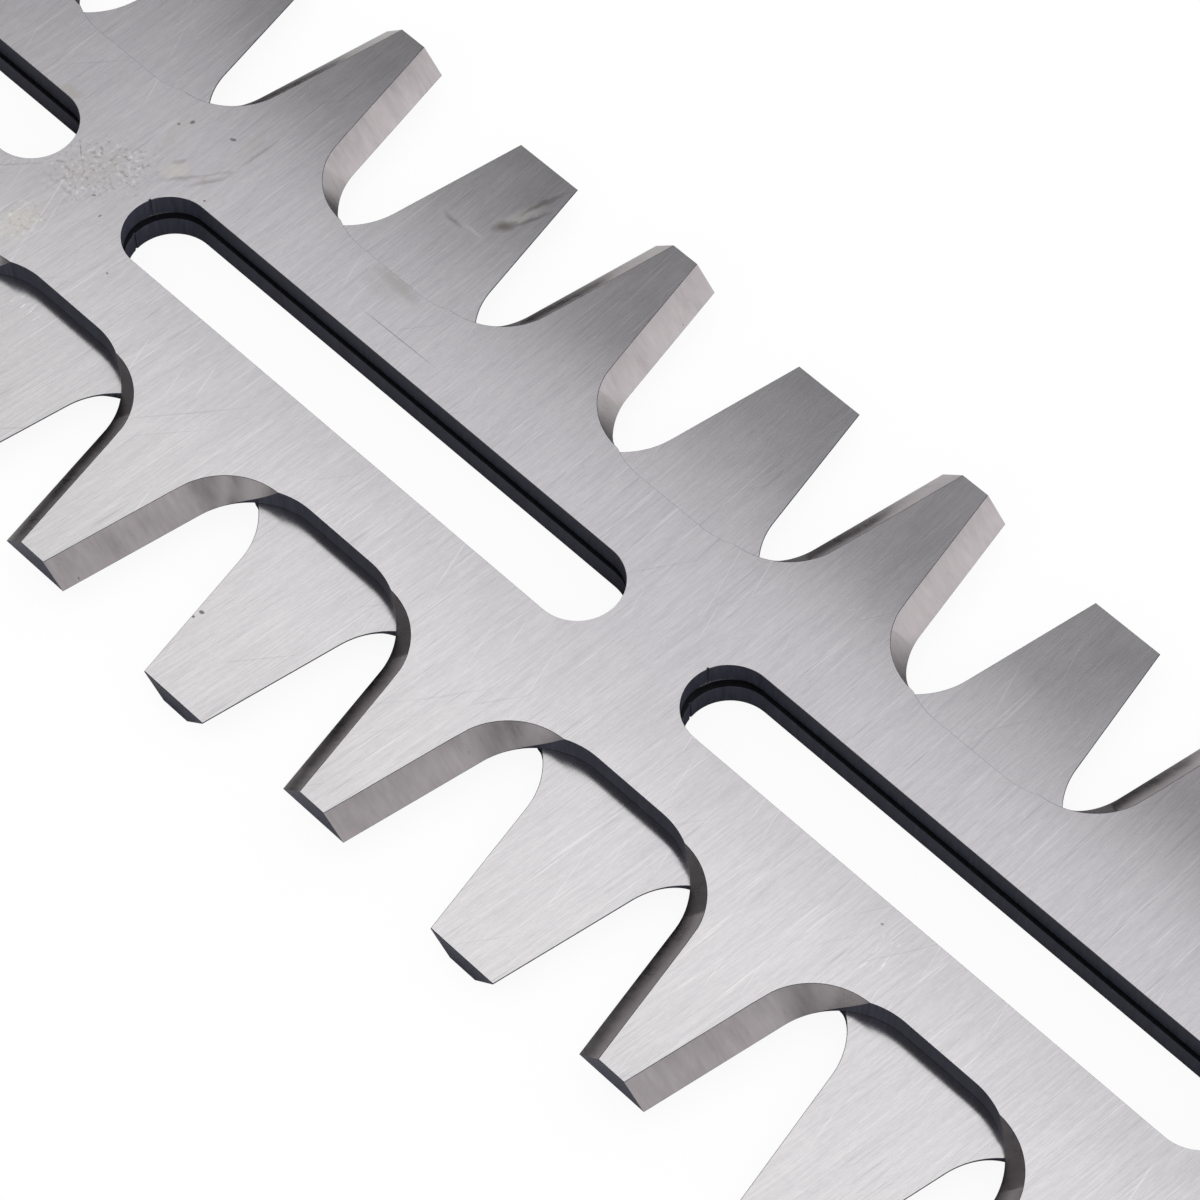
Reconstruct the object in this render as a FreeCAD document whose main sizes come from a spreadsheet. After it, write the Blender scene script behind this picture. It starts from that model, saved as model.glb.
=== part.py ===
import FreeCAD, Part
import math
import os
import Sketcher

from FreeCAD import Placement, Rotation, Vector

# Double-sided hedge trimmer cutter: two equal toothed blades lying face to face.
# Frame: +X along the blades towards the free end, +Y across them, +Z up.
# The origin is under the middle of the pair, on the plane it lies on.
# Each blade is drawn with its mating face at z = 0 and its ground face at the top.

doc = FreeCAD.newDocument("hedge_trimmer_blade")
sheet = doc.addObject("Spreadsheet::Sheet", "Sizes")

# Lengths in millimetres, angles in degrees
SIZES = {
    "tooth_pitch": 34.0,
    "teeth_per_row": 12,
    "half_span": 30.0,
    "tip_chord": 7.1,
    "flank_angle": 10.7,
    "root_half_width": 10.9,
    "gullet_radius": 7.4,
    "blade_thickness": 2.2,
    "bevel_width": 2.1,
    "bevel_radius": 6.7,
    "bevel_setback": 0.7,
    "edge_land": 0.1,
    "slot_width": 8.1,
    "slot_length": 58.6,
    "slot_count": 6,
    "slot_pitches": 2,
    "slot_offset": 8.8,
    "tang_length": 50.0,
    "eye_diameter": 10.0,
    "eye_to_end": 11.5,
    "tang_end_radius": 9.0,
    "nose_length": 9.0,
    "nose_radius": 6.0,
    "rest_shift_x": 0.65,
    "rest_shift_y": 0.43,
    "cut_over": 3.0,
    "bevel_over": 0.3,
}

# Sizes that follow from the ones above
FOLLOWING = {
    "bank_length": "=tooth_pitch * teeth_per_row",
    "row_stagger": "=tooth_pitch / 2",
    "blade_length": "=tang_length + bank_length + row_stagger + nose_length",
    "near_start": "=tang_length - blade_length / 2",
    "far_start": "=near_start + row_stagger",
    "slot_start": "=near_start + row_stagger + slot_offset",
    "slot_spacing": "=tooth_pitch * slot_pitches",
    "eye_x": "=eye_to_end - blade_length / 2",
    "flank_tan": "=tan(flank_angle * 1 deg)",
    "flank_cos": "=cos(flank_angle * 1 deg)",
    "gullet_mouth": "=tooth_pitch - tip_chord + 2 * cut_over * flank_tan",
    "mouth_reach": "=half_span + cut_over",
    "through_depth": "=blade_thickness + cut_over",
    "gullet_count": "=teeth_per_row + 1",
    "corner_tan": "=tan(45 deg + flank_angle * 0.5 deg)",
    "gullet_floor": "=root_half_width",
    "gullet_run": "=gullet_mouth / 2 - (mouth_reach - gullet_floor) * flank_tan - gullet_radius / corner_tan",
    "bevel_rise": "=bevel_width / (blade_thickness - edge_land)",
    "face_height": "=blade_thickness + bevel_over",
    "edge_height": "=-bevel_over",
    "face_offset": "=bevel_rise * (face_height - edge_land)",
    "edge_offset": "=bevel_rise * (edge_height - edge_land)",
    "face_mouth": "=gullet_mouth + 2 * face_offset / flank_cos",
    "edge_mouth": "=gullet_mouth + 2 * edge_offset / flank_cos",
    "face_radius": "=bevel_radius + face_offset - bevel_width",
    "edge_radius": "=bevel_radius + edge_offset - bevel_width",
    "face_floor": "=root_half_width + bevel_setback - face_offset + bevel_width",
    "edge_floor": "=root_half_width + bevel_setback - edge_offset + bevel_width",
    "face_run": "=face_mouth / 2 - (mouth_reach - face_floor) * flank_tan - face_radius / corner_tan",
    "edge_run": "=edge_mouth / 2 - (mouth_reach - edge_floor) * flank_tan - edge_radius / corner_tan",
}

for row, (alias, value) in enumerate(list(SIZES.items()) + list(FOLLOWING.items()), start=1):
    sheet.set(f"A{row}", alias)
    sheet.set(f"B{row}", str(value))
    sheet.setAlias(f"B{row}", alias)
doc.recompute()


def size(alias):
    return float(getattr(sheet, alias))


def plane(body, role):
    return next(item for item in body.Origin.OriginFeatures if item.Role == role)


def new_sketch(body, name, x="0", height="0", turned=False):
    """A sketch on the body's XY plane, moved along the blade and up, half turned for the far row."""
    sketch = body.newObject("Sketcher::SketchObject", name)
    sketch.AttachmentSupport = [(plane(body, "XY_Plane"), "")]
    sketch.MapMode = "FlatFace"
    turn = Rotation(Vector(0, 0, 1), 180 if turned else 0)
    sketch.AttachmentOffset = Placement(Vector(0, 0, 0), turn)
    sketch.setExpression("AttachmentOffset.Base.x", x)
    sketch.setExpression("AttachmentOffset.Base.z", height)
    return sketch


def drive(sketch, index, name, formula):
    """Name a dimension of the sketch and tie it to the sheet."""
    sketch.renameConstraint(index, name)
    sketch.setExpression(f"Constraints.{name}", formula)


def rectangle(sketch, length, low, high, start):
    """A rectangle from x = start, between y = low and y = high above the sketch's X axis."""
    corners = [(0, 1), (10, 1), (10, 2), (0, 2)]
    for (x0, y0), (x1, y1) in zip(corners, corners[1:] + corners[:1]):
        sketch.addGeometry(Part.LineSegment(Vector(x0, y0, 0), Vector(x1, y1, 0)), False)
    for side in range(4):
        sketch.addConstraint(Sketcher.Constraint("Coincident", side, 2, (side + 1) % 4, 1))
    for side, way in enumerate(("Horizontal", "Vertical", "Horizontal", "Vertical")):
        sketch.addConstraint(Sketcher.Constraint(way, side))
    drive(sketch, sketch.addConstraint(Sketcher.Constraint("DistanceX", 0, 1, 0, 2, 10)), "along", length)
    drive(sketch, sketch.addConstraint(Sketcher.Constraint("DistanceY", -1, 1, 0, 1, 1)), "low", low)
    drive(sketch, sketch.addConstraint(Sketcher.Constraint("DistanceY", -1, 1, 2, 1, 2)), "high", high)
    drive(sketch, sketch.addConstraint(Sketcher.Constraint("DistanceX", 0, 1, -1, 1, 0)), "start", start)


def gullet_profile(sketch, kind):
    """The open space between two teeth, symmetric about the sketch's Y axis, its mouth towards -Y."""
    half = size(f"{kind}_mouth") / 2
    rad = size(f"{kind}_radius")
    run = size(f"{kind}_run")
    low = -size("mouth_reach")
    high = -size(f"{kind}_floor")
    lean = math.radians(size("flank_angle"))
    centre = Vector(run, high - rad, 0)
    out = centre + Vector(rad * math.cos(lean), -rad * math.sin(lean), 0)
    sketch.addGeometry(Part.LineSegment(Vector(-run, high, 0), Vector(run, high, 0)), False)
    circle = Part.Circle(centre, Vector(0, 0, 1), rad)
    sketch.addGeometry(Part.ArcOfCircle(circle, -lean, math.pi / 2), False)
    sketch.addGeometry(Part.LineSegment(out, Vector(half, low, 0)), False)
    sketch.addGeometry(Part.LineSegment(Vector(half, low, 0), Vector(-half, low, 0)), False)
    sketch.addGeometry(Part.LineSegment(Vector(-half, low, 0), Vector(-out.x, out.y, 0)), False)
    circle = Part.Circle(Vector(-centre.x, centre.y, 0), Vector(0, 0, 1), rad)
    sketch.addGeometry(Part.ArcOfCircle(circle, math.pi / 2, math.pi + lean), False)
    add = sketch.addConstraint
    add(Sketcher.Constraint("Tangent", 0, 2, 1, 2))
    add(Sketcher.Constraint("Tangent", 1, 1, 2, 1))
    add(Sketcher.Constraint("Coincident", 2, 2, 3, 1))
    add(Sketcher.Constraint("Coincident", 3, 2, 4, 1))
    add(Sketcher.Constraint("Tangent", 4, 2, 5, 2))
    add(Sketcher.Constraint("Tangent", 5, 1, 0, 1))
    add(Sketcher.Constraint("Symmetric", 3, 1, 3, 2, -2))
    add(Sketcher.Constraint("Symmetric", 0, 1, 0, 2, -2))
    add(Sketcher.Constraint("Equal", 1, 5))
    drive(sketch, add(Sketcher.Constraint("Radius", 1, rad)), "corner", f"Sizes.{kind}_radius")
    drive(sketch, add(Sketcher.Constraint("DistanceX", 3, 2, 3, 1, 2 * half)), "mouth", f"Sizes.{kind}_mouth")
    drive(sketch, add(Sketcher.Constraint("DistanceX", 0, 1, 0, 2, 2 * run)), "run", f"2 * Sizes.{kind}_run")
    drive(sketch, add(Sketcher.Constraint("DistanceY", 3, 1, -1, 1, -low)), "reach", "Sizes.mouth_reach")
    drive(sketch, add(Sketcher.Constraint("DistanceY", 0, 2, -1, 1, -high)), "floor", f"Sizes.{kind}_floor")


def slot_profile(sketch):
    """A long slot with round ends, centred on the sketch's origin."""
    half = (size("slot_length") - size("slot_width")) / 2
    rad = size("slot_width") / 2
    sketch.addGeometry(Part.LineSegment(Vector(-half, -rad, 0), Vector(half, -rad, 0)), False)
    circle = Part.Circle(Vector(half, 0, 0), Vector(0, 0, 1), rad)
    sketch.addGeometry(Part.ArcOfCircle(circle, -math.pi / 2, math.pi / 2), False)
    sketch.addGeometry(Part.LineSegment(Vector(half, rad, 0), Vector(-half, rad, 0)), False)
    circle = Part.Circle(Vector(-half, 0, 0), Vector(0, 0, 1), rad)
    sketch.addGeometry(Part.ArcOfCircle(circle, math.pi / 2, 3 * math.pi / 2), False)
    add = sketch.addConstraint
    add(Sketcher.Constraint("Tangent", 0, 2, 1, 1))
    add(Sketcher.Constraint("Tangent", 1, 2, 2, 1))
    add(Sketcher.Constraint("Tangent", 2, 2, 3, 1))
    add(Sketcher.Constraint("Tangent", 3, 2, 0, 1))
    add(Sketcher.Constraint("Horizontal", 0))
    add(Sketcher.Constraint("Symmetric", 1, 3, 3, 3, -1, 1))
    add(Sketcher.Constraint("Equal", 1, 3))
    drive(sketch, add(Sketcher.Constraint("Radius", 1, rad)), "half_width", "Sizes.slot_width / 2")
    drive(sketch, add(Sketcher.Constraint("DistanceX", 3, 3, 1, 3, 2 * half)), "between",
          "Sizes.slot_length - Sizes.slot_width")


def pad(body, name, sketch):
    feature = body.newObject("PartDesign::Pad", name)
    feature.Profile = sketch
    feature.setExpression("Length", "Sizes.blade_thickness")
    return feature


def pocket(body, name, sketch, depth):
    """A straight cut downwards from the sketch."""
    feature = body.newObject("PartDesign::Pocket", name)
    feature.Profile = sketch
    feature.Type = "Length"
    feature.setExpression("Length", depth)
    return feature


def row_of(body, name, originals, count, spacing):
    feature = body.newObject("PartDesign::LinearPattern", name)
    feature.Originals = originals
    feature.Direction = (plane(body, "X_Axis"), [""])
    feature.Mode = "Spacing"
    feature.setExpression("Offset", spacing)
    feature.setExpression("Occurrences", count)
    body.Tip = feature
    return feature


def smaller(body, before, what):
    """Recompute, and make sure that a cut has taken something away."""
    doc.recompute()
    after = body.Shape.Volume
    if not after < before - 1.0:
        raise RuntimeError(f"{body.Label}: {what} cuts nothing")
    return after


def make_blade(label):
    body = doc.addObject("PartDesign::Body", label)
    body.Label = label

    # Spine from the drive end to the free end, and the two banks that the teeth are cut from
    spine = new_sketch(body, "spine_outline")
    rectangle(spine, "Sizes.blade_length", "-Sizes.root_half_width", "Sizes.root_half_width",
              "Sizes.blade_length / 2")
    pad(body, "spine", spine)
    for row, start, turned in (("near", "near_start", False), ("far", "far_start", True)):
        bank = new_sketch(body, f"{row}_bank_outline", turned=turned)
        offset = f"-Sizes.{start}"
        if turned:
            offset = f"Sizes.{start} + Sizes.bank_length"
        rectangle(bank, "Sizes.bank_length", "-Sizes.half_span", "-Sizes.root_half_width / 2", offset)
        pad(body, f"{row}_bank", bank)
    doc.recompute()
    volume = body.Shape.Volume

    # Rounded corners of the tang and of the free end
    edges = {"tang_end_radius": [], "nose_radius": []}
    half = size("blade_length") / 2
    for index, edge in enumerate(body.Shape.Edges, start=1):
        ends = [point.Point for point in edge.Vertexes]
        upright = len(ends) == 2 and abs(ends[0].z - ends[1].z) > size("blade_thickness") / 2
        if upright and abs(ends[0].x + half) < 1e-6:
            edges["tang_end_radius"].append(f"Edge{index}")
        if upright and abs(ends[0].x - half) < 1e-6:
            edges["nose_radius"].append(f"Edge{index}")
    base = body.Tip
    for name, radius in (("tang_corners", "tang_end_radius"), ("nose_corners", "nose_radius")):
        corners = body.newObject("PartDesign::Fillet", name)
        corners.Base = (base, edges[radius])
        corners.setExpression("Radius", f"Sizes.{radius}")
        doc.recompute()
        base = corners
        edges["nose_radius"] = [
            f"Edge{index}" for index, edge in enumerate(body.Shape.Edges, start=1)
            if len(edge.Vertexes) == 2
            and all(abs(point.Point.x - half) < 1e-6 for point in edge.Vertexes)
            and abs(edge.Vertexes[0].Point.z - edge.Vertexes[1].Point.z) > size("blade_thickness") / 2
        ]
    volume = smaller(body, volume, "corner rounding")

    # Gullets with straight floors and round corners, and the ground bevels of the flanks.
    # The bevel narrows towards the mating face and runs out at the corners of the gullet.
    for row, start, turned in (("near", "near_start", False), ("far", "far_start", True)):
        gullet = new_sketch(body, f"{row}_gullet_outline", f"Sizes.{start}", "Sizes.blade_thickness", turned)
        gullet_profile(gullet, "gullet")
        cut = pocket(body, f"{row}_gullet", gullet, "Sizes.through_depth")
        volume = smaller(body, volume, f"{row} gullet")
        face = new_sketch(body, f"{row}_bevel_face", f"Sizes.{start}", "Sizes.face_height", turned)
        gullet_profile(face, "face")
        edge = new_sketch(body, f"{row}_bevel_edge", f"Sizes.{start}", "Sizes.edge_height", turned)
        gullet_profile(edge, "edge")
        grind = body.newObject("PartDesign::SubtractiveLoft", f"{row}_bevel")
        grind.Profile = edge
        grind.Sections = [face]
        grind.Ruled = True
        volume = smaller(body, volume, f"{row} bevel")
        row_of(body, f"{row}_teeth", [cut, grind], "Sizes.gullet_count", "Sizes.tooth_pitch")
        volume = smaller(body, volume, f"{row} row of teeth")

    # Long slots for the guide bolts, and the plain drive eye in the tang
    slot = new_sketch(body, "slot_outline", "Sizes.slot_start", "Sizes.blade_thickness")
    slot_profile(slot)
    cut = pocket(body, "slot", slot, "Sizes.through_depth")
    volume = smaller(body, volume, "slot")
    row_of(body, "slots", [cut], "Sizes.slot_count", "Sizes.slot_spacing")
    volume = smaller(body, volume, "row of slots")
    eye = new_sketch(body, "eye_outline", "Sizes.eye_x", "Sizes.blade_thickness")
    eye.addGeometry(Part.Circle(Vector(0, 0, 0), Vector(0, 0, 1), size("eye_diameter") / 2), False)
    eye.addConstraint(Sketcher.Constraint("Coincident", 0, 3, -1, 1))
    drive(eye, eye.addConstraint(Sketcher.Constraint("Diameter", 0, size("eye_diameter"))), "eye",
          "Sizes.eye_diameter")
    pocket(body, "drive_eye", eye, "Sizes.through_depth")
    smaller(body, volume, "drive eye")
    return body


upper = make_blade("upper_blade")
lower = make_blade("lower_blade")

# The lower blade is turned over about its length; the two lie a little out of line, as at rest
lower.Placement = Placement(Vector(0, 0, 0), Rotation(Vector(1, 0, 0), 180))
for blade, sign in ((upper, "-"), (lower, "")):
    blade.setExpression("Placement.Base.x", f"{sign}Sizes.rest_shift_x / 2")
    blade.setExpression("Placement.Base.z", "Sizes.blade_thickness")
upper.setExpression("Placement.Base.y", "Sizes.rest_shift_y / 2")
lower.setExpression("Placement.Base.y", "-Sizes.rest_shift_y / 2")
doc.recompute()

for item in doc.Objects:
    if "Invalid" in item.State or "Error" in item.State:
        raise RuntimeError(f"{item.Name} failed: {item.State}")

os.makedirs("parts", exist_ok=True)
for blade in (upper, lower):
    shape = blade.Shape
    if shape.isNull() or not shape.isValid() or len(shape.Solids) != 1:
        raise RuntimeError(f"{blade.Label} is not one valid solid")
    shape.exportStep(f"parts/{blade.Label}.step")
    box = shape.BoundBox
    print(blade.Label, "volume", round(shape.Volume, 1), "faces", len(shape.Faces))
    print("  x", round(box.XMin, 3), round(box.XMax, 3), "y", round(box.YMin, 3), round(box.YMax, 3),
          "z", round(box.ZMin, 3), round(box.ZMax, 3))
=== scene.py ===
import math

import bmesh
import bpy
from mathutils import Matrix, Vector


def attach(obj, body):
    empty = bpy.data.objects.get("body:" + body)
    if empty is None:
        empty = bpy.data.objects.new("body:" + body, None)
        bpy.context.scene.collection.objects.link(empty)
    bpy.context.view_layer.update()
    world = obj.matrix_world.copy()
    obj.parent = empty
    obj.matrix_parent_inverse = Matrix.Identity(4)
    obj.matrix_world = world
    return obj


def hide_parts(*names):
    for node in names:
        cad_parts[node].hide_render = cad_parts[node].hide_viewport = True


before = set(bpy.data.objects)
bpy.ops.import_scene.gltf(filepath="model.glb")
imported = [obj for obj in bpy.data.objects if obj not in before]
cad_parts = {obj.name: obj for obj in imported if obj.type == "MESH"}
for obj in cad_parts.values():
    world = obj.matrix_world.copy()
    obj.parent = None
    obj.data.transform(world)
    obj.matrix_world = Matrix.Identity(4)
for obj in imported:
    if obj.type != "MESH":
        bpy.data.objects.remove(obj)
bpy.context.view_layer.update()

# Sizes of one blade in millimetres, as in the solids.
# A blade is drawn with its mating face at z = 0 and its ground face at the top.
MM = 0.001
PITCH = 34.0
TEETH = 12
HALF_SPAN = 30.0
TIP_CHORD = 7.1
LEAN = math.radians(10.7)
ROOT = 10.9
GULLET_RADIUS = 7.4
THICK = 2.2
BEVEL_WIDTH = 2.1
BEVEL_RADIUS = 6.7
BEVEL_SETBACK = 0.7
EDGE_LAND = 0.1
SLOT_WIDTH = 8.1
SLOT_LENGTH = 58.6
SLOT_COUNT = 6
SLOT_STEP = 2 * PITCH
SLOT_OFFSET = 8.8
TANG = 50.0
TANG_RADIUS = 9.0
NOSE = 9.0
NOSE_RADIUS = 6.0
EYE_RADIUS = 5.0
EYE_TO_END = 11.5
REST_SHIFT = (0.65, 0.43)

LENGTH = TANG + PITCH * TEETH + PITCH / 2 + NOSE
NEAR_START = TANG - LENGTH / 2
FAR_START = NEAR_START + PITCH / 2
SLOT_START = NEAR_START + PITCH / 2 + SLOT_OFFSET
EYE_X = EYE_TO_END - LENGTH / 2

# Fine edge breaks, and how suddenly the bevel runs out in the gullet's corner
TOP_BREAK = 0.03
MATING_BREAK = 0.05
SLOT_BREAK = 0.025
RUN_OUT = 3.0

# The small start nick that the cutting left in one end of each slot
UPPER_NICK = math.radians(160.0)
LOWER_NICK = math.radians(171.0)
NICK_WIDTH = 0.26
NICK_DEPTH = 0.12

# Width of the near-black rim round a hole on the mating face: painted shade, where the other blade's ledge
# lies in shadow in a slot
RIM = 0.7

# Fineness of the curves
FLANK_STEPS = 8
CORNER_STEPS = 22
FLOOR_STEPS = 8
END_STEPS = 14
SLOT_STEPS = 40
EYE_STEPS = 96
HALVINGS = 50

# Limits: lengths that count as none, the sharpest corner of an inset, a level face, an edge that stays sharp
SAME_PLACE = 1e-4
NO_LENGTH = 1e-6
INSET_LIMIT = 0.5
LEVEL_NORMAL = 0.999
SHARP_ANGLE = math.radians(24.0)

# Finishes of a blade in the order of its materials (the last one is painted shade round the holes), and the
# map that brushing follows
FACE, BEVEL, CUT, RIM_SHADE = 0, 1, 2, 3
PLAN = "plan"


# Shape of a blade

def tangent_length(radius):
    """From the corner between floor and flank to the start of an arc in it."""
    return radius / math.tan(math.pi / 4 + LEAN / 2)


class Gullet:
    """The space between two teeth of the near row, about its own middle; x along the blade, y across."""

    half_mouth = (PITCH - TIP_CHORD) / 2
    flank_up = Vector((math.sin(LEAN), math.cos(LEAN)))
    flank_out = Vector((-math.cos(LEAN), math.sin(LEAN)))

    def __init__(self):
        foot = self.half_mouth - (HALF_SPAN - ROOT) * math.tan(LEAN)
        self.centre = Vector((tangent_length(GULLET_RADIUS) - foot, -ROOT - GULLET_RADIUS))
        floor = ROOT + BEVEL_SETBACK
        wide = self.half_mouth + BEVEL_WIDTH / math.cos(LEAN)
        bevel_foot = wide - (HALF_SPAN - floor) * math.tan(LEAN)
        self.bevel_centre = Vector((tangent_length(BEVEL_RADIUS) - bevel_foot, -floor - BEVEL_RADIUS))
        self.tip_top = Vector((-wide, -HALF_SPAN))

    def on_arc(self, angle):
        return self.centre + GULLET_RADIUS * Vector((math.cos(angle), math.sin(angle)))

    def bevel_at(self, point):
        """(distance to the bevel's top edge, the nearest point of that edge)."""
        arm = point - self.bevel_centre
        if arm.dot(self.flank_up) <= 0:
            gap = BEVEL_RADIUS - arm.dot(self.flank_out)
            return gap, point + self.flank_out * gap
        return BEVEL_RADIUS - arm.length, self.bevel_centre + arm.normalized() * BEVEL_RADIUS

    def run_out(self):
        """The angle on the corner where the bevel runs out at the top face."""
        low, high = math.pi / 2, math.pi - LEAN
        for _ in range(HALVINGS):
            mid = (low + high) / 2
            if self.bevel_at(self.on_arc(mid))[0] > 0:
                high = mid
            else:
                low = mid
        return (low + high) / 2

    def row(self, point):
        """A point of the flank or corner with its bevel."""
        gap, top = self.bevel_at(point)
        rise = max(0.0, 1 - gap / BEVEL_WIDTH)
        return point, EDGE_LAND + (THICK - EDGE_LAND) * rise ** RUN_OUT, top, "flank"

    def half(self):
        """Points from the tip corner to the flat floor: (point, wall height, top edge, kind)."""
        tip = Vector((-self.half_mouth, -HALF_SPAN))
        start = math.pi - LEAN
        stop = self.run_out()
        root = self.on_arc(start)
        rows = [(tip, EDGE_LAND, self.tip_top, "flank")]
        for i in range(1, FLANK_STEPS):
            rows.append(self.row(tip.lerp(root, i / FLANK_STEPS)))
        for i in range(CORNER_STEPS):
            rows.append(self.row(self.on_arc(start + (stop - start) * i / CORNER_STEPS)))
        for i in range(FLOOR_STEPS + 1):
            point = self.on_arc(stop + (math.pi / 2 - stop) * i / FLOOR_STEPS)
            rows.append((point, THICK, point, "floor"))
        return rows


def mirrored(rows):
    """The other half of a gullet, from its floor to the next tooth's tip.

    A kind names the run after its point, so the kinds move on by one.
    """
    kinds = [kind for _, _, _, kind in reversed(rows)][1:] + ["tip"]
    flip = [(Vector((-p.x, p.y)), h, Vector((-q.x, q.y))) for p, h, q, _ in reversed(rows)]
    return [(p, h, q, kind) for (p, h, q), kind in zip(flip, kinds)]


def tooth_row(centres):
    """The edge of a row of teeth, from the first gullet's floor to the last one's."""
    half = Gullet().half()
    rows = []
    for number, centre in enumerate(centres):
        shift = Vector((centre, 0))
        part = []
        if number > 0:
            part += half
        if number < len(centres) - 1:
            part += mirrored(half)
        rows += [(p + shift, h, q + shift, kind) for p, h, q, kind in part]
    return rows


def corner(x, y, radius, start, stop):
    """A rounded corner of the tang or the nose."""
    rows = []
    for i in range(END_STEPS + 1):
        angle = start + (stop - start) * i / END_STEPS
        point = Vector((x + radius * math.cos(angle), y + radius * math.sin(angle)))
        rows.append((point, THICK, point, "side"))
    return rows


def turned(rows):
    """The same edge, turned half round."""
    return [(-p, h, -q, kind) for p, h, q, kind in rows]


def outline():
    """The blade's edge, anticlockwise from the drive end."""
    end = LENGTH / 2
    quarter = math.pi / 2
    near = tooth_row([NEAR_START + k * PITCH for k in range(TEETH + 1)])
    far = turned(tooth_row([-(FAR_START + k * PITCH) for k in reversed(range(TEETH + 1))]))
    tang_x, nose_x = TANG_RADIUS - end, end - NOSE_RADIUS
    rows = corner(tang_x, TANG_RADIUS - ROOT, TANG_RADIUS, 2 * quarter, 3 * quarter)
    rows += near
    rows += corner(nose_x, NOSE_RADIUS - ROOT, NOSE_RADIUS, -quarter, 0)
    rows += corner(nose_x, ROOT - NOSE_RADIUS, NOSE_RADIUS, 0, quarter)
    rows += far
    rows += corner(tang_x, ROOT - TANG_RADIUS, TANG_RADIUS, quarter, 2 * quarter)
    return rows


def slot_loop(x, nick_angle):
    """A slot's edge, clockwise, with the start nick in one end, and the outer edge of its rim of painted
    shade.
    """
    radius = SLOT_WIDTH / 2
    reach = SLOT_LENGTH / 2 - radius
    nick = nick_angle - 2 * math.pi
    half = NICK_WIDTH / 2 / radius
    nick_shape = ((half, 0), (half / 2, NICK_DEPTH), (-half / 2, NICK_DEPTH), (-half, 0))
    points, rim = [], []

    def add(centre, angle, deep=0.0):
        way = Vector((math.cos(angle), math.sin(angle)))
        points.append(centre + way * (radius + deep))
        rim.append(centre + way * (radius + RIM))

    for i in range(SLOT_STEPS + 1):
        add(Vector((x + reach, 0)), math.pi / 2 - math.pi * i / SLOT_STEPS)
    nick_end = Vector((x - reach, 0))
    for i in range(SLOT_STEPS + 1):
        angle = -math.pi / 2 - math.pi * i / SLOT_STEPS
        if abs(angle - nick) <= math.pi / SLOT_STEPS / 2:
            for turn, deep in nick_shape:
                add(nick_end, nick + turn, deep)
        else:
            add(nick_end, angle)
    return points, rim


def eye_loop():
    """The drive eye's edge, clockwise, and the outer edge of its rim of painted shade."""
    ways = [-2 * math.pi * i / EYE_STEPS for i in range(EYE_STEPS)]
    return [[Vector((EYE_X + radius * math.cos(way), radius * math.sin(way))) for way in ways]
            for radius in (EYE_RADIUS, EYE_RADIUS + RIM)]


def inset(points, distance):
    """Each point moved to its left by a distance, along the mean of its two edges' normals."""
    result = []
    count = len(points)
    for i, point in enumerate(points):
        before = point - points[i - 1]
        after = points[(i + 1) % count] - point
        edges = [edge for edge in (before, after) if edge.length > NO_LENGTH]
        sides = [Vector((-edge.y, edge.x)).normalized() for edge in edges]
        mean = sum(sides, Vector((0, 0)))
        mean.normalize()
        result.append(point + mean * distance / max(INSET_LIMIT, mean.dot(sides[0])))
    return result


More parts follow.
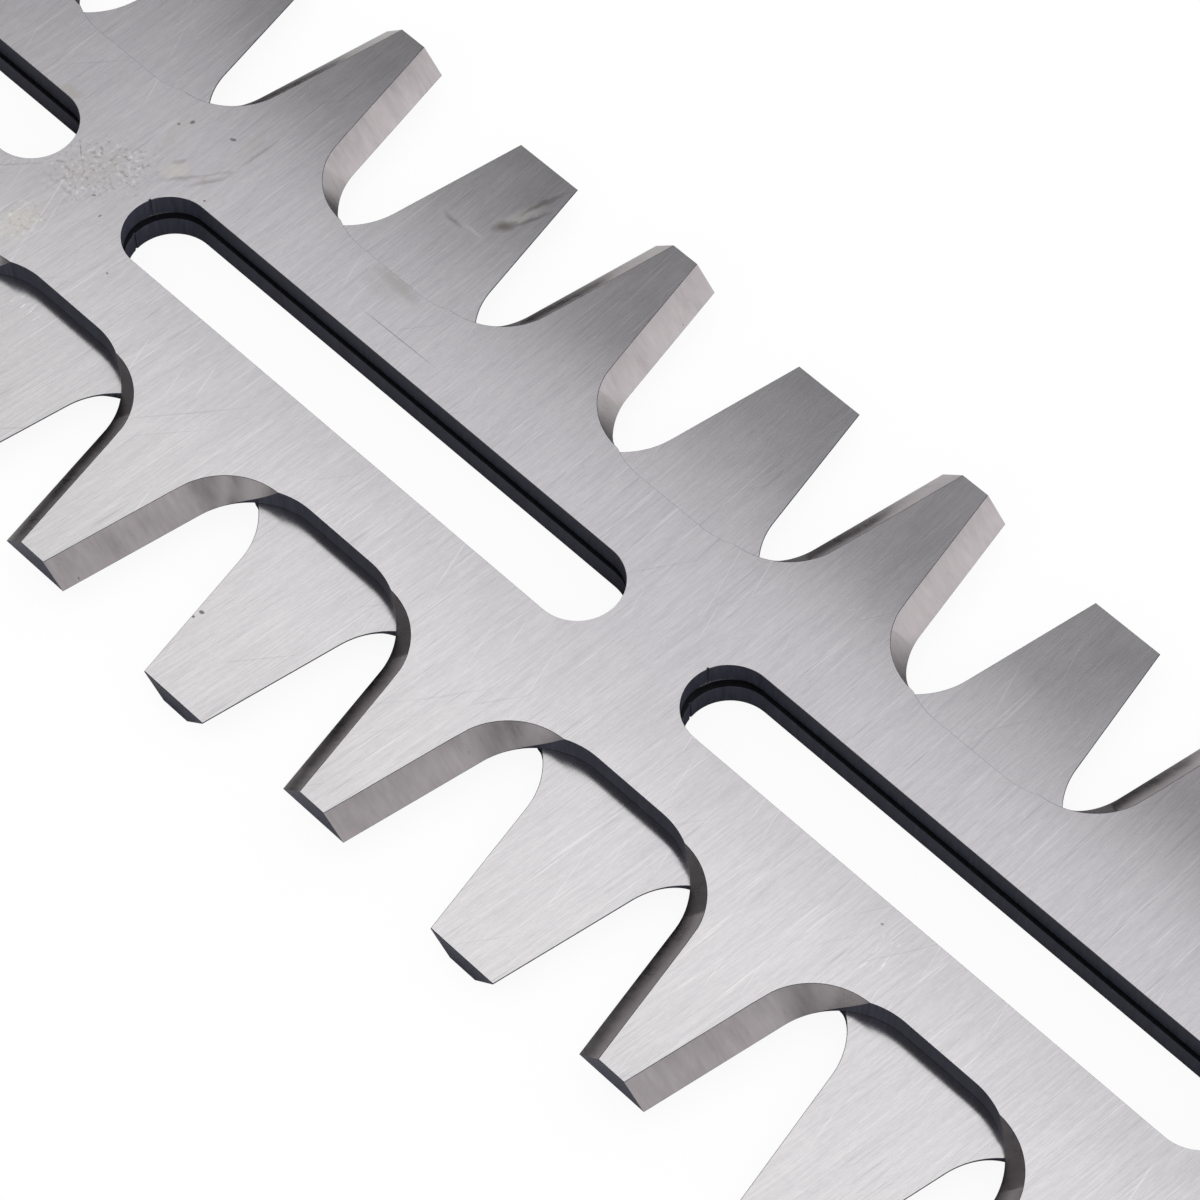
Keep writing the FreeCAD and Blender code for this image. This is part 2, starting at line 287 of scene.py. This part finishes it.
class BladeMesh:
    """A blade as a closed mesh: its edge and its holes first, then the two faces between them."""

    def __init__(self):
        self.bm = bmesh.new()
        self.top_edges = []
        self.low_edges = []

    def vert(self, x, y, z):
        return self.bm.verts.new((x * MM, y * MM, z * MM))

    def face(self, corners, finish):
        unique = list(dict.fromkeys(corners))
        if len(unique) > 2:
            made = self.bm.faces.new(unique)
            made.material_index = finish

    def keep_edges(self, top, low):
        """Remember two rings of edges, between which the top and the mating face are filled."""
        for ring, edges in ((top, self.top_edges), (low, self.low_edges)):
            count = len(ring)
            edges += [self.bm.edges.get((ring[i], ring[(i + 1) % count])) for i in range(count)]

    def wall_top(self, point, height, top):
        """The upper edges of the wall and of its bevel, which are one where there is no bevel."""
        if (top - point).length < SAME_PLACE:
            edge = self.vert(point.x, point.y, THICK - TOP_BREAK)
            return edge, edge
        slope = Vector((point.x - top.x, point.y - top.y, height - THICK))
        down = slope * min(1.0, TOP_BREAK / slope.length)
        wall = self.vert(point.x, point.y, height)
        return wall, self.vert(top.x + down.x, top.y + down.y, THICK + down.z)

    def add_outline(self, rows):
        bottoms = inset([point for point, _, _, _ in rows], MATING_BREAK)
        tops = inset([top for _, _, top, _ in rows], TOP_BREAK)
        posts = []
        for (point, height, top, _), under, inner in zip(rows, bottoms, tops):
            low = self.vert(under.x, under.y, 0)
            land = self.vert(point.x, point.y, MATING_BREAK)
            wall, brim = self.wall_top(point, height, top)
            posts.append((low, land, wall, brim, self.vert(inner.x, inner.y, THICK)))
        for i, (_, _, _, kind) in enumerate(rows):
            here, there = posts[i], posts[(i + 1) % len(posts)]
            for k, finish in enumerate((CUT, CUT, BEVEL if kind == "flank" else CUT, CUT)):
                self.face([here[k], there[k], there[k + 1], here[k + 1]], finish)
        self.keep_edges([post[-1] for post in posts], [post[0] for post in posts])

    def add_hole(self, loop, rim):
        broken = inset(loop, SLOT_BREAK)
        levels = ((rim, 0), (broken, 0), (loop, SLOT_BREAK), (loop, THICK - SLOT_BREAK), (broken, THICK))
        rings = [[self.vert(point.x, point.y, z) for point in points] for points, z in levels]
        # The ring on the mating face round each hole gets the near-black painted shade
        for below, above, finish in zip(rings, rings[1:], (RIM_SHADE, CUT, CUT, FACE)):
            for i in range(len(loop)):
                j = (i + 1) % len(loop)
                self.face([below[i], below[j], above[j], above[i]], finish)
        self.keep_edges(rings[-1], rings[0])

    def fill_faces(self):
        for edges in (self.top_edges, self.low_edges):
            filled = bmesh.ops.triangle_fill(self.bm, use_beauty=True, use_dissolve=False, edges=edges)
            for item in filled["geom"]:
                if isinstance(item, bmesh.types.BMFace):
                    item.material_index = FACE
        bmesh.ops.recalc_face_normals(self.bm, faces=self.bm.faces)

    def set_shading(self):
        """Smooth faces between sharp edges, and the map that brushing follows."""
        plan = self.bm.loops.layers.uv.new(PLAN)
        for item in self.bm.faces:
            item.smooth = True
            for corner_loop in item.loops:
                corner_loop[plan].uv = corner_loop.vert.co.xy
        for edge in self.bm.edges:
            level = [abs(item.normal.z) > LEVEL_NORMAL for item in edge.link_faces]
            edge.smooth = level[0] == level[1] and edge.calc_face_angle(0) < SHARP_ANGLE


def blade_mesh(name, place, nick_angle):
    """One blade, moved into place."""
    drawn = BladeMesh()
    drawn.add_outline(outline())
    for k in range(SLOT_COUNT):
        drawn.add_hole(*slot_loop(SLOT_START + k * SLOT_STEP, nick_angle))
    drawn.add_hole(*eye_loop())
    drawn.fill_faces()
    drawn.set_shading()
    drawn.bm.transform(place)
    mesh = bpy.data.meshes.new(name)
    drawn.bm.to_mesh(mesh)
    drawn.bm.free()
    return mesh


# Shader nodes

def feed(tree, target, value):
    """Link an output to an input, or set the input to a plain value."""
    if isinstance(value, bpy.types.NodeSocket):
        tree.links.new(value, target)
    else:
        target.default_value = value


def node(tree, kind, **inputs):
    made = tree.nodes.new(kind)
    for key, value in inputs.items():
        feed(tree, made.inputs[key], value)
    return made


def operation(tree, kind, name, values):
    made = tree.nodes.new(kind)
    made.operation = name
    for target, value in zip(made.inputs, values):
        feed(tree, target, value)
    return made


def combine(tree, name, *values):
    return operation(tree, "ShaderNodeMath", name, values).outputs["Value"]


def moved(tree, name, *values):
    """Vector arithmetic that gives a vector."""
    return operation(tree, "ShaderNodeVectorMath", name, values).outputs["Vector"]


def measured(tree, name, *values):
    """Vector arithmetic that gives a number."""
    return operation(tree, "ShaderNodeVectorMath", name, values).outputs["Value"]


def blend(tree, first, second, shares):
    parts = [combine(tree, "MULTIPLY", value, share) for value, share in zip((first, second), shares)]
    return combine(tree, "ADD", *parts)


def remap(tree, value, low, high, to_low, to_high):
    ends = {"From Min": low, "From Max": high, "To Min": to_low, "To Max": to_high}
    return node(tree, "ShaderNodeMapRange", Value=value, **ends).outputs["Result"]


def mix(tree, factor, colour, over):
    """colour, covered with another one by a factor; both are outputs or red, green and blue."""
    made = tree.nodes.new("ShaderNodeMix")
    made.data_type = "RGBA"
    feed(tree, made.inputs["Factor"], factor)
    for key, value in (("A", colour), ("B", over)):
        feed(tree, made.inputs[key], (*value, 1) if isinstance(value, tuple) else value)
    return made.outputs["Result"]


def place_on(tree):
    """The place on the piece, in metres."""
    return tree.nodes.new("ShaderNodeTexCoord").outputs["Object"]


def parts_of(tree, vector):
    split = node(tree, "ShaderNodeSeparateXYZ", Vector=vector)
    return split.outputs["X"], split.outputs["Y"], split.outputs["Z"]


def bump(tree, height, distance, strength, **inputs):
    made = node(tree, "ShaderNodeBump", Height=height, Distance=distance, Strength=strength, **inputs)
    return made.outputs["Normal"]


def new_material(name):
    material = bpy.data.materials.new(name)
    material.use_nodes = True
    tree = material.node_tree
    shader = tree.nodes["Principled BSDF"]
    shader.inputs["Metallic"].default_value = 1.0
    return material, tree, shader


# Grinding lines

# The lean of the lines, and the curve that a big wheel gives them, per metre across the blade
GRIND_LEAN = 0.044
GRIND_CURVE = 1.48

# Noise: cells per metre along the blade, across it and in height, then detail and roughness
FINE_LINES = ((6500, 260, 6500), 3.0, 0.75)
BROAD_LINES = ((1500, 75, 1500), 3.0, 0.7)
GRAIN = ((4200, 1700, 4200), 2.0, 0.6)
CLOUD = ((170, 130, 170), 3.0, 0.6)
BEVEL_LINES = ((400, 2200, 400), 3.0, 0.6)
BEVEL_CLOUD = ((260, 420, 260), 3.0, 0.6)
BEVEL_PITS = ((1500, 1500, 1500), 3.0, 0.6)
CUT_LINES = ((3500, 3500, 300), 3.0, 0.6)
SPECKS = ((2300, 2300, 2300), 3.0, 0.6)
STROKES = ((3200, 900, 3200), 2.0, 0.5)
# The part of a noise's range that most of it lies in
USUAL = (0.3, 0.7)


def grind_place(tree, turn=0.0):
    """The place on the blade, bent so that lines across it run as a big grinding wheel leaves them.

    turn, in degrees, leans the lines over.
    """
    vector = place_on(tree)
    if turn:
        lean_over = tree.nodes.new("ShaderNodeVectorRotate")
        lean_over.rotation_type = "Z_AXIS"
        feed(tree, lean_over.inputs["Angle"], math.radians(turn))
        feed(tree, lean_over.inputs["Vector"], vector)
        vector = lean_over.outputs["Vector"]
    along, across, up = parts_of(tree, vector)
    curve = combine(tree, "MULTIPLY", combine(tree, "MULTIPLY", across, across), GRIND_CURVE)
    lean = combine(tree, "SUBTRACT", curve, combine(tree, "MULTIPLY", across, GRIND_LEAN))
    bent = combine(tree, "ADD", along, lean)
    return node(tree, "ShaderNodeCombineXYZ", X=bent, Y=across, Z=up).outputs["Vector"]


def streaks(tree, noise, vector=None):
    """One of the noises above, at a place on the piece or on a bent place."""
    scale, detail, roughness = noise
    if vector is None:
        vector = place_on(tree)
    cells = moved(tree, "MULTIPLY", vector, scale)
    made = node(tree, "ShaderNodeTexNoise", Vector=cells, Scale=1.0, Detail=detail, Roughness=roughness)
    return made.outputs["Fac"]


# Marks of use

MARK_COLOURS = {
    "pitted": (0.30, 0.275, 0.25),
    "chipped": (0.90, 0.885, 0.88),
    "tarnish": (0.50, 0.44, 0.34),
    "cream": (0.74, 0.69, 0.60),
    "dull": (0.41, 0.385, 0.36),
    "smudge": (0.30, 0.285, 0.265),
    "pale": (0.86, 0.83, 0.80),
    "tide": (0.36, 0.31, 0.27),
    "pit": (0.10, 0.10, 0.10),
    "scratch": (0.16, 0.16, 0.17),
    "strokes": (0.92, 0.91, 0.92),
    "specks": (0.92, 0.91, 0.92),
}
# How far noise pushes a mark's edge about, in millimetres, and that noise's cells per metre
RAGGED = {
    "pitted": 3.0, "chipped": 3.0, "tarnish": 1.2, "cream": 1.6, "dull": 1.0, "smudge": 0.7,
    "pale": 0.7, "tide": 0.8, "pit": 0.25, "scratch": 0.0, "strokes": 1.0, "specks": 1.5,
}
WOBBLE_SCALE = 800.0
WOBBLE_DETAIL = 2.0
# Where a mark starts to fade, from its middle at 0 to its edge at 1
SOFT = {"cream": 0.2, "dull": 0.3, "smudge": 0.2, "pale": 0.2}
USUAL_SOFT = 0.6
# A tide mark is a line round its middle: where it lies, from 0 to 1, and how wide it is
TIDE_LINE = 0.8
TIDE_WIDTH = 0.3
# The noise that breaks a mark up, and its levels where the mark starts and is full
BROKEN = {
    "pitted": (SPECKS, 0.44, 0.34),
    "chipped": (SPECKS, 0.57, 0.68),
    "specks": (SPECKS, 0.66, 0.72),
    "strokes": (STROKES, 0.58, 0.66),
}
# Marks lie on the upward face only: they start and are full this far under it, in millimetres
UNDER_FACE = (0.4, 0.3)

# kind, middle and half size in millimetres in the frame, turn in degrees, strength
UPPER_MARKS = [
    # pitted patch between the slots, and the cream stains beside it
    ("tarnish", (2.6, 0.4), (3.6, 2.2), 57, 0.14),
    ("pitted", (2.7, 0.8), (6.0, 3.9), 50, 0.62),
    ("chipped", (2.8, 0.7), (5.8, 3.8), 50, 0.6),
    ("chipped", (-2.1, -2.8), (2.6, 0.7), 49, 0.6),
    ("cream", (2.1, -7.7), (2.9, 2.0), 88, 0.32),
    ("pitted", (2.2, -7.6), (3.0, 2.2), 88, 0.3),
    ("chipped", (2.3, -7.5), (2.8, 2.0), 88, 0.45),
    ("tarnish", (-5.5, 4.8), (1.4, 0.6), 9, 0.3),
    ("scratch", (-0.1, 1.1), (1.23, 0.07), -37, 0.45),
    ("pit", (4.6, -1.5), (0.2, 0.16), 40, 0.6),
    ("pit", (6.6, -2.6), (0.22, 0.12), 80, 0.6),
    ("pit", (11.7, -6.3), (0.15, 0.15), 0, 0.6),
    # dried splash by the slot's end
    ("tarnish", (4.3, 8.4), (2.9, 0.6), 108, 0.16),
    ("tarnish", (10.2, 12.3), (2.5, 0.8), 101, 0.16),
    ("cream", (7.6, 5.4), (1.7, 0.95), 52, 0.42),
    ("smudge", (8.6, 5.2), (2.2, 0.36), 51, 0.4),
    ("smudge", (10.4, 6.3), (2.2, 0.32), 61, 0.4),
    ("smudge", (11.5, 11.6), (2.9, 0.3), 88, 0.42),
    ("tide", (10.6, 7.3), (1.6, 0.5), 63, 0.3),
    ("pit", (7.1, 6.2), (0.8, 0.3), 60, 0.2),
    # rest of the blade
    ("dull", (30.3, 10.5), (3.4, 0.9), -3, 0.5),
    ("dull", (29.4, 9.2), (2.6, 1.2), 0, 0.25),
    ("scratch", (34.4, 6.65), (5.1, 0.05), 1.0, 0.65),
    ("pit", (8.7, 11.2), (0.35, 0.2), 20, 0.7),
    ("pit", (4.7, 10.0), (0.32, 0.22), 70, 0.7),
    ("pit", (4.0, 9.0), (0.2, 0.16), 0, 0.6),
    ("pit", (11.9, 4.9), (0.14, 0.14), 0, 0.7),
    ("pit", (102.7, -5.6), (0.16, 0.13), 30, 0.6),
    ("strokes", (104.5, -7.7), (1.7, 2.6), 0, 0.45),
    ("specks", (79.8, 14.4), (3.8, 2.8), 0, 0.6),
]
LOWER_MARKS = [
    # dried drop on a far tooth, and the small hook beside it
    ("pale", (31.4, 24.3), (2.9, 0.85), 66, 0.72),
    ("smudge", (31.8, 26.4), (3.0, 0.34), 75, 0.75),
    ("smudge", (32.4, 24.6), (2.6, 0.3), 71, 0.7),
    ("smudge", (31.2, 22.4), (1.4, 0.75), 55, 0.95),
    ("smudge", (27.4, 19.8), (1.4, 0.36), -4, 0.6),
    ("pale", (29.6, 20.2), (1.3, 0.3), 2, 0.5),
    # near teeth
    ("pit", (41.9, -23.0), (0.32, 0.2), 15, 0.85),
    ("pit", (41.75, -23.8), (0.16, 0.16), 0, 0.8),
    ("pit", (76.0, -27.7), (0.22, 0.1), 80, 0.75),
    ("pit", (76.4, -28.9), (0.16, 0.1), 80, 0.75),
    ("pit", (76.0, -26.6), (0.2, 0.1), 80, 0.7),
    ("pit", (75.7, -24.7), (0.14, 0.1), 80, 0.7),
    ("strokes", (8.0, -12.6), (2.2, 1.1), 0, 0.7),
]


def spot(tree, vector, middle, half_size, turn):
    """Distance from a mark's middle: 0 there, 1 at the edge of its ellipse."""
    angle = math.radians(turn)
    along = Vector((math.cos(angle), math.sin(angle), 0))
    across = Vector((-math.sin(angle), math.cos(angle), 0))
    join = tree.nodes.new("ShaderNodeCombineXYZ")
    centre = [0.0, 0.0, 0.0]
    for index, (way, half) in enumerate(zip((along, across), half_size)):
        feed(tree, join.inputs[index], measured(tree, "DOT_PRODUCT", vector, way / (half * MM)))
        centre[index] = way.dot(Vector((*middle, 0))) / half
    return measured(tree, "DISTANCE", join.outputs["Vector"], centre)


def marked(tree, plain, marks, height):
    """The marks of use on the upward face, laid over its plain colour."""
    place = place_on(tree)
    noise = node(tree, "ShaderNodeTexNoise", Vector=place, Scale=WOBBLE_SCALE, Detail=WOBBLE_DETAIL)
    wobble = noise.outputs["Color"]
    places, patterns = {}, {}
    for kind in dict.fromkeys(mark[0] for mark in marks):
        places[kind] = moved(tree, "MULTIPLY_ADD", wobble, (RAGGED[kind] * MM,) * 3, place)
        if kind in BROKEN:
            broken_by, start, full = BROKEN[kind]
            patterns[kind] = remap(tree, streaks(tree, broken_by), start, full, 0, 1)
    colour = plain
    for kind, middle, half_size, turn, strength in marks:
        pushed_middle = [value + RAGGED[kind] / 2 for value in middle]
        gap = spot(tree, places[kind], pushed_middle, half_size, turn)
        if kind == "tide":
            gap = combine(tree, "ABSOLUTE", combine(tree, "SUBTRACT", gap, TIDE_LINE))
            cover = remap(tree, gap, 0.0, TIDE_WIDTH, strength, 0)
        else:
            cover = remap(tree, gap, SOFT.get(kind, USUAL_SOFT), 1.0, strength, 0)
        if kind in patterns:
            cover = combine(tree, "MULTIPLY", cover, patterns[kind])
        colour = mix(tree, cover, colour, MARK_COLOURS[kind])
    start, full = ((height - depth) * MM for depth in UNDER_FACE)
    upward = remap(tree, parts_of(tree, place)[2], start, full, 0, 1)
    return mix(tree, upward, plain, colour)


# Steel of the faces, bevels and cut edges

# Dark and light of each finish, the noise levels between which they change, and its roughness
FACE_STEEL = ((0.528, 0.517, 0.532), (0.703, 0.691, 0.704))
FACE_SHADE = (0.34, 0.66)
FACE_ROUGHNESS = (0.22, 0.26)
BEVEL_STEEL = ((0.32, 0.295, 0.30), (0.45, 0.42, 0.425))
BEVEL_SHADE = (0.32, 0.68)
BEVEL_ROUGHNESS = (0.24, 0.36)
BEVEL_PIT_LEVELS = (0.27, 0.22)
EDGE_SCALE = ((0.048, 0.049, 0.072), (0.085, 0.087, 0.12))
# Near-black rim round the holes: painted shade where the other blade's ledge lies in shadow
RIM_SHADE_COLOURS = ((0.004, 0.004, 0.006), (0.01, 0.01, 0.014))
EDGE_ROUGHNESS = (0.3, 0.45)
EDGE_GLOSS = 0.2
BRUSHING = 0.9
# How much of two noises goes into their sum
FINE_TO_BROAD = (0.7, 0.3)
GRAIN_TO_CLOUD = (0.5, 0.5)
LINES_TO_SOFT = (0.65, 0.35)
BEVEL_LINES_TO_CLOUD = (0.4, 0.6)
# Relief: distance in metres, strength
FACE_RELIEF = (0.000003, 0.2)
EDGE_RELIEF = (0.00002, 0.3)
# Fine scratches: lean in degrees, cells per metre along them, noise level where they start, strength, colour
PALE, DARK = (0.86, 0.845, 0.86), (0.36, 0.35, 0.37)
SCRATCHES = [
    (0.0, 80, 0.68, 0.35, PALE),
    (0.0, 120, 0.69, 0.3, DARK),
    (-24.0, 70, 0.72, 0.35, PALE),
    (38.0, 60, 0.73, 0.3, DARK),
]
SCRATCH_SCALE = 4200
SCRATCH_DETAIL = 1.0
SCRATCH_ROUGHNESS = 0.5
SCRATCH_EDGE = 0.06
# The set of the teeth, in shading only: where it starts, in millimetres, and how fast it grows from there
SET_START = 6.0
SET_SLOPE = 0.00055


def brushed(tree, shader):
    """Gloss drawn out across the grinding lines."""
    made = tree.nodes.new("ShaderNodeTangent")
    made.direction_type = "UV_MAP"
    made.uv_map = PLAN
    feed(tree, shader.inputs["Tangent"], made.outputs["Tangent"])
    shader.inputs["Anisotropic"].default_value = BRUSHING


def tooth_set(tree, slope):
    """The normal of teeth that bend very slightly towards the other blade."""
    across = parts_of(tree, place_on(tree))[1]
    out = combine(tree, "SUBTRACT", combine(tree, "ABSOLUTE", across), SET_START * MM)
    out = combine(tree, "MAXIMUM", out, 0.0)
    hollow = combine(tree, "MULTIPLY", combine(tree, "MULTIPLY", out, out), slope / 2 / MM)
    return bump(tree, hollow, distance=1.0, strength=1.0)


def ground_face(name, marks, height, set_slope):
    """A blade's flat ground faces: fine grinding lines across it, faint mottling and the marks of use."""
    material, tree, shader = new_material(name)
    ground = grind_place(tree)
    fine = streaks(tree, FINE_LINES, ground)
    cloud = streaks(tree, CLOUD)
    lines = blend(tree, fine, streaks(tree, BROAD_LINES, ground), FINE_TO_BROAD)
    soft = blend(tree, streaks(tree, GRAIN, ground), cloud, GRAIN_TO_CLOUD)
    shade = blend(tree, lines, soft, LINES_TO_SOFT)
    colour = mix(tree, remap(tree, shade, *FACE_SHADE, 0, 1), *FACE_STEEL)
    for turn, length_scale, level, amount, over in SCRATCHES:
        along = grind_place(tree, turn) if turn else ground
        scale = (SCRATCH_SCALE, length_scale, SCRATCH_SCALE)
        thin = streaks(tree, (scale, SCRATCH_DETAIL, SCRATCH_ROUGHNESS), along)
        colour = mix(tree, remap(tree, thin, level, level + SCRATCH_EDGE, 0, amount), colour, over)
    feed(tree, shader.inputs["Base Color"], marked(tree, colour, marks, height))
    feed(tree, shader.inputs["Roughness"], remap(tree, cloud, *USUAL, *FACE_ROUGHNESS))
    brushed(tree, shader)
    normal = bump(tree, fine, *FACE_RELIEF, Normal=tooth_set(tree, set_slope))
    feed(tree, shader.inputs["Normal"], normal)
    return material


def ground_bevel():
    """Bevels ground across the edge: short streaks down the slope, and a few pits."""
    material, tree, shader = new_material("ground_bevel")
    lines = blend(tree, streaks(tree, BEVEL_LINES), streaks(tree, BEVEL_CLOUD), BEVEL_LINES_TO_CLOUD)
    colour = mix(tree, remap(tree, lines, *BEVEL_SHADE, 0, 1), *BEVEL_STEEL)
    pits = remap(tree, streaks(tree, BEVEL_PITS), *BEVEL_PIT_LEVELS, 0, 1)
    feed(tree, shader.inputs["Base Color"], mix(tree, pits, colour, MARK_COLOURS["pit"]))
    feed(tree, shader.inputs["Roughness"], remap(tree, lines, *USUAL, *BEVEL_ROUGHNESS))
    feed(tree, shader.inputs["Normal"], bump(tree, lines, *EDGE_RELIEF))
    return material


def cut_edge(name, dark, light):
    """Edges left by cutting: a dark blue-grey scale with fine upright lines; with near-black colours it is
    also the painted shade round the holes.
    """
    material, tree, shader = new_material(name)
    lines = streaks(tree, CUT_LINES)
    feed(tree, shader.inputs["Base Color"], mix(tree, remap(tree, lines, *USUAL, 0, 1), dark, light))
    feed(tree, shader.inputs["Roughness"], remap(tree, lines, *USUAL, *EDGE_ROUGHNESS))
    shader.inputs["Metallic"].default_value = 0.0
    shader.inputs["Specular IOR Level"].default_value = EDGE_GLOSS
    feed(tree, shader.inputs["Normal"], bump(tree, lines, *EDGE_RELIEF))
    return material


# The two blades

# The last edge material is painted shade for the rims round the holes
EDGE_MATERIALS = [ground_bevel(), cut_edge("cut_edge", *EDGE_SCALE), cut_edge("rim_painted_shade", *RIM_SHADE_COLOURS)]


def blade(name, node_name, body, place, nick_angle, face):
    mesh = blade_mesh(name, place, nick_angle)
    for material in [face] + EDGE_MATERIALS:
        mesh.materials.append(material)
    piece = bpy.data.objects.new(name, mesh)
    bpy.context.scene.collection.objects.link(piece)
    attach(piece, body)
    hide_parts(node_name)


shift_x, shift_y = (value / 2 * MM for value in REST_SHIFT)
blade("upper_blade_ground", "upper_blade", "upper",
      Matrix.Translation((-shift_x, shift_y, THICK * MM)), UPPER_NICK,
      ground_face("upper_face", UPPER_MARKS, 2 * THICK, -SET_SLOPE))
blade("lower_blade_ground", "lower_blade", "lower",
      Matrix.Translation((shift_x, -shift_y, THICK * MM)) @ Matrix.Rotation(math.pi, 4, "X"), LOWER_NICK,
      ground_face("lower_face", LOWER_MARKS, THICK, SET_SLOPE))


# Floor

FLOOR_REACH = 12.0
FLOOR_RIM = 1.8
FLOOR_GAP = 0.0001
WHITE = (1, 1, 1, 1)
PAPER = (0.82, 0.82, 0.82, 1)
# The floor's faint shadow to the camera, and its darkness in gloss, both close to the object
SHADOW_REACH = 0.01
SHADOW_DEPTH = 0.08
SHADOW_SAMPLES = 1
FLOOR_GLOW = 1.0
CONTACT_REACH = 0.03
CONTACT_DARKNESS = 4.0
CONTACT_SAMPLES = 6


def openness(tree, reach, samples):
    """1 on the open floor, less where the object is near."""
    made = node(tree, "ShaderNodeAmbientOcclusion", Distance=reach)
    made.samples = samples
    return made.outputs["AO"]


def floor_white():
    """Paper, which the camera and gloss see as white, less close to the object."""
    material = bpy.data.materials.new("floor_white")
    material.use_nodes = True
    tree = material.node_tree
    tree.nodes.remove(tree.nodes["Principled BSDF"])
    path = tree.nodes.new("ShaderNodeLightPath")
    shadow = remap(tree, openness(tree, SHADOW_REACH, SHADOW_SAMPLES), 0, 1, 1 - SHADOW_DEPTH, 1)
    contact = combine(tree, "POWER", openness(tree, CONTACT_REACH, CONTACT_SAMPLES), CONTACT_DARKNESS)
    glow = combine(tree, "MULTIPLY", contact, FLOOR_GLOW)
    gloss = combine(tree, "MAXIMUM", path.outputs["Is Glossy Ray"], path.outputs["Is Transmission Ray"])
    shown = node(tree, "ShaderNodeBsdfDiffuse", Color=PAPER).outputs["BSDF"]
    for ray, strength in ((gloss, glow), (path.outputs["Is Camera Ray"], shadow)):
        light = node(tree, "ShaderNodeEmission", Color=WHITE, Strength=strength)
        either = tree.nodes.new("ShaderNodeMixShader")
        for target, value in zip(either.inputs, (ray, shown, light.outputs["Emission"])):
            feed(tree, target, value)
        shown = either.outputs["Shader"]
    feed(tree, tree.nodes["Material Output"].inputs["Surface"], shown)
    return material


def white_floor():
    """A wide floor with a low rim, so that a low view ends in white too."""
    ends = (-FLOOR_REACH, FLOOR_REACH)
    corners = [(ends[0], ends[0]), (ends[1], ends[0]), (ends[1], ends[1]), (ends[0], ends[1])]
    sides = [(i, i + 4, (i + 1) % 4 + 4, (i + 1) % 4) for i in range(4)]
    mesh = bpy.data.meshes.new("floor")
    mesh.from_pydata([(x, y, z) for z in (0, FLOOR_RIM) for x, y in corners], [], [(0, 1, 2, 3)] + sides)
    mesh.materials.append(floor_white())
    floor = bpy.data.objects.new("floor", mesh)
    floor.location.z = -FLOOR_GAP
    bpy.context.scene.collection.objects.link(floor)


white_floor()


# Light

ROOM_COLOUR = (1.0, 0.99, 1.0, 1)
ROOM_BRIGHT_SIDE = Vector((0.67, 0.74, 0.08)).normalized()
ROOM_LEVEL = 1.5
ROOM_FALLOFF = 3.0
ROOM_LOWEST = 0.18
# Lamps: name, middle, the point that it faces, width and height in metres, radiance, colour
SOFTBOXES = [
    ("key_far", (0.0125, 0.0747, 0.16), (0.0125, 0.0747, 0), (0.275, 0.0355), 0.685, (0.99, 0.985, 1.01)),
    ("key_near", (0.0125, 0.0314, 0.16), (0.0125, 0.0314, 0), (0.275, 0.051), 0.945, (1.0, 1.0, 0.985)),
    ("front", (0.45, -0.75, 0.6), (0.0, 0.0, 0), (0.9, 0.6), 1.1, (1, 1, 1)),
]


def studio_room():
    """Room light that falls off from its bright side."""
    world = bpy.data.worlds.new("studio")
    bpy.context.scene.world = world
    world.use_nodes = True
    tree = world.node_tree
    where = tree.nodes.new("ShaderNodeTexCoord").outputs["Generated"]
    facing = remap(tree, measured(tree, "DOT_PRODUCT", where, ROOM_BRIGHT_SIDE), -1, 1, 0, 1)
    level = combine(tree, "MULTIPLY", combine(tree, "POWER", facing, ROOM_FALLOFF), ROOM_LEVEL)
    room = tree.nodes["Background"]
    feed(tree, room.inputs["Color"], ROOM_COLOUR)
    feed(tree, room.inputs["Strength"], combine(tree, "MAXIMUM", level, ROOM_LOWEST))


def softbox(name, middle, target, size, radiance, colour):
    data = bpy.data.lights.new(name, "AREA")
    data.color = colour
    data.shape = "RECTANGLE"
    data.size, data.size_y = size
    data.energy = radiance * math.pi * size[0] * size[1]
    lamp = bpy.data.objects.new(name, data)
    lamp.location = middle
    lamp.rotation_euler = (Vector(target) - Vector(middle)).to_track_quat("-Z", "Y").to_euler()
    lamp.visible_camera = False
    bpy.context.scene.collection.objects.link(lamp)


studio_room()
for row in SOFTBOXES:
    softbox(*row)


# Camera, placed where the photograph was taken from

# A fixed point on the upper blade's mating face: its middle line at one of the near teeth, counted from 0
CAMERA_TOOTH = 6
TOOTH_X = NEAR_START + PITCH / 2 + CAMERA_TOOTH * PITCH
TOOTH_MIDDLE = Vector((TOOTH_X - REST_SHIFT[0] / 2, REST_SHIFT[1] / 2, THICK))
CAMERA_FROM_TOOTH = Vector((5.50878, -4.29889, 9.76583)) * PITCH
CAMERA_RIGHT = Vector((0.705863, 0.708298, -0.008492))
CAMERA_DOWN = Vector((0.594546, -0.598934, -0.536464))
CAMERA_LOOK = Vector((-0.385062, 0.373621, -0.843881))
FOCAL_PER_WIDTH = 4747.9 / 1200
SENSOR = 36.0
NEAREST, FURTHEST = 0.01, 50.0


def photo_camera():
    data = bpy.data.cameras.new("camera")
    data.sensor_width = SENSOR
    data.lens = FOCAL_PER_WIDTH * SENSOR
    data.clip_start = NEAREST
    data.clip_end = FURTHEST
    camera = bpy.data.objects.new("camera", data)
    bpy.context.scene.collection.objects.link(camera)
    axes = Matrix((CAMERA_RIGHT, -CAMERA_DOWN, -CAMERA_LOOK)).transposed().to_4x4()
    camera.matrix_world = Matrix.Translation((TOOTH_MIDDLE + CAMERA_FROM_TOOTH) * MM) @ axes
    bpy.context.scene.camera = camera


photo_camera()
bpy.context.scene.view_settings.view_transform = "Standard"
